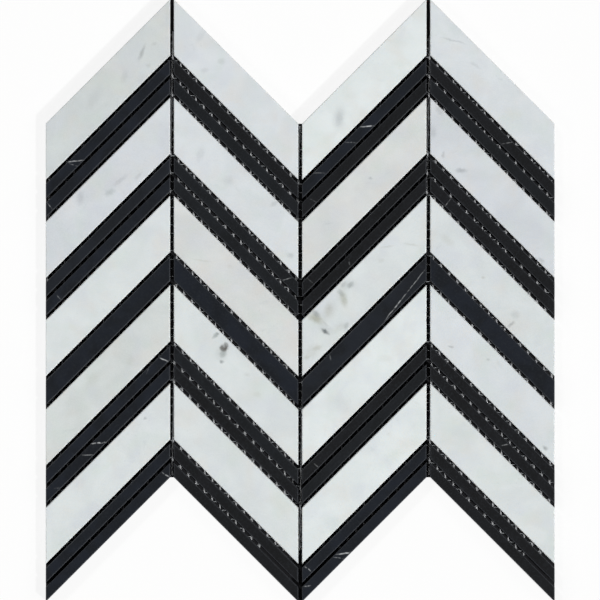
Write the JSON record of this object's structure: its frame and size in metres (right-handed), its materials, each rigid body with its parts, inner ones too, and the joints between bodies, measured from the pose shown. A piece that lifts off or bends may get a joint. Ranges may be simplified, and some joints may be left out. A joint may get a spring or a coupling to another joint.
{
  "type": "chevron mosaic wall tile",
  "caption": "Net-backed marble mosaic sheet: mitred white bars and slim black strips laid in upright zigzag columns.",
  "frame": {"origin": "middle of the sheet's outline, on the plane that the backing net lies on", "axes": "+X across the sheet, +Y up the sheet towards the single-notched edge, +Z out of the polished face"},
  "size_m": [0.3048, 0.361, 0.0104],
  "materials": {
    "white_marble": "honed",
    "black_marble": "honed",
    "glass_fibre_net": "resin-coated glass-fibre scrim"
  },
  "bodies": {
    "root": {"column_1_white_bar_1": "white_marble", "column_1_black_strip_1_upper": "black_marble", "column_1_black_strip_1_lower": "black_marble", "column_1_white_bar_2": "white_marble", "column_1_black_strip_2_upper": "black_marble", "column_1_black_strip_2_lower": "black_marble", "column_1_white_bar_3": "white_marble", "column_1_black_strip_3_wide": "black_marble", "column_1_white_bar_4": "white_marble", "column_1_black_strip_4_upper": "black_marble", "column_1_black_strip_4_lower": "black_marble", "column_1_white_bar_5": "white_marble", "column_1_black_strip_5_upper": "black_marble", "column_1_black_strip_5_lower": "black_marble", "column_2_white_bar_1": "white_marble", "column_2_black_strip_1_upper": "black_marble", "column_2_black_strip_1_lower": "black_marble", "column_2_white_bar_2": "white_marble", "column_2_black_strip_2_upper": "black_marble", "column_2_black_strip_2_lower": "black_marble", "column_2_white_bar_3": "white_marble", "column_2_black_strip_3_wide": "black_marble", "column_2_white_bar_4": "white_marble", "column_2_black_strip_4_upper": "black_marble", "column_2_black_strip_4_lower": "black_marble", "column_2_white_bar_5": "white_marble", "column_2_black_strip_5_upper": "black_marble", "column_2_black_strip_5_lower": "black_marble", "column_3_white_bar_1": "white_marble", "column_3_black_strip_1_upper": "black_marble", "column_3_black_strip_1_lower": "black_marble", "column_3_white_bar_2": "white_marble", "column_3_black_strip_2_upper": "black_marble", "column_3_black_strip_2_lower": "black_marble", "column_3_white_bar_3": "white_marble", "column_3_black_strip_3_wide": "black_marble", "column_3_white_bar_4": "white_marble", "column_3_black_strip_4_upper": "black_marble", "column_3_black_strip_4_lower": "black_marble", "column_3_white_bar_5": "white_marble", "column_3_black_strip_5_upper": "black_marble", "column_3_black_strip_5_lower": "black_marble", "column_4_white_bar_1": "white_marble", "column_4_black_strip_1_upper": "black_marble", "column_4_black_strip_1_lower": "black_marble", "column_4_white_bar_2": "white_marble", "column_4_black_strip_2_upper": "black_marble", "column_4_black_strip_2_lower": "black_marble", "column_4_white_bar_3": "white_marble", "column_4_black_strip_3_wide": "black_marble", "column_4_white_bar_4": "white_marble", "column_4_black_strip_4_upper": "black_marble", "column_4_black_strip_4_lower": "black_marble", "column_4_white_bar_5": "white_marble", "column_4_black_strip_5_upper": "black_marble", "column_4_black_strip_5_lower": "black_marble", "net_lengthwise_strands": "glass_fibre_net", "net_crosswise_strands": "glass_fibre_net"}
  },
  "joints": []
}
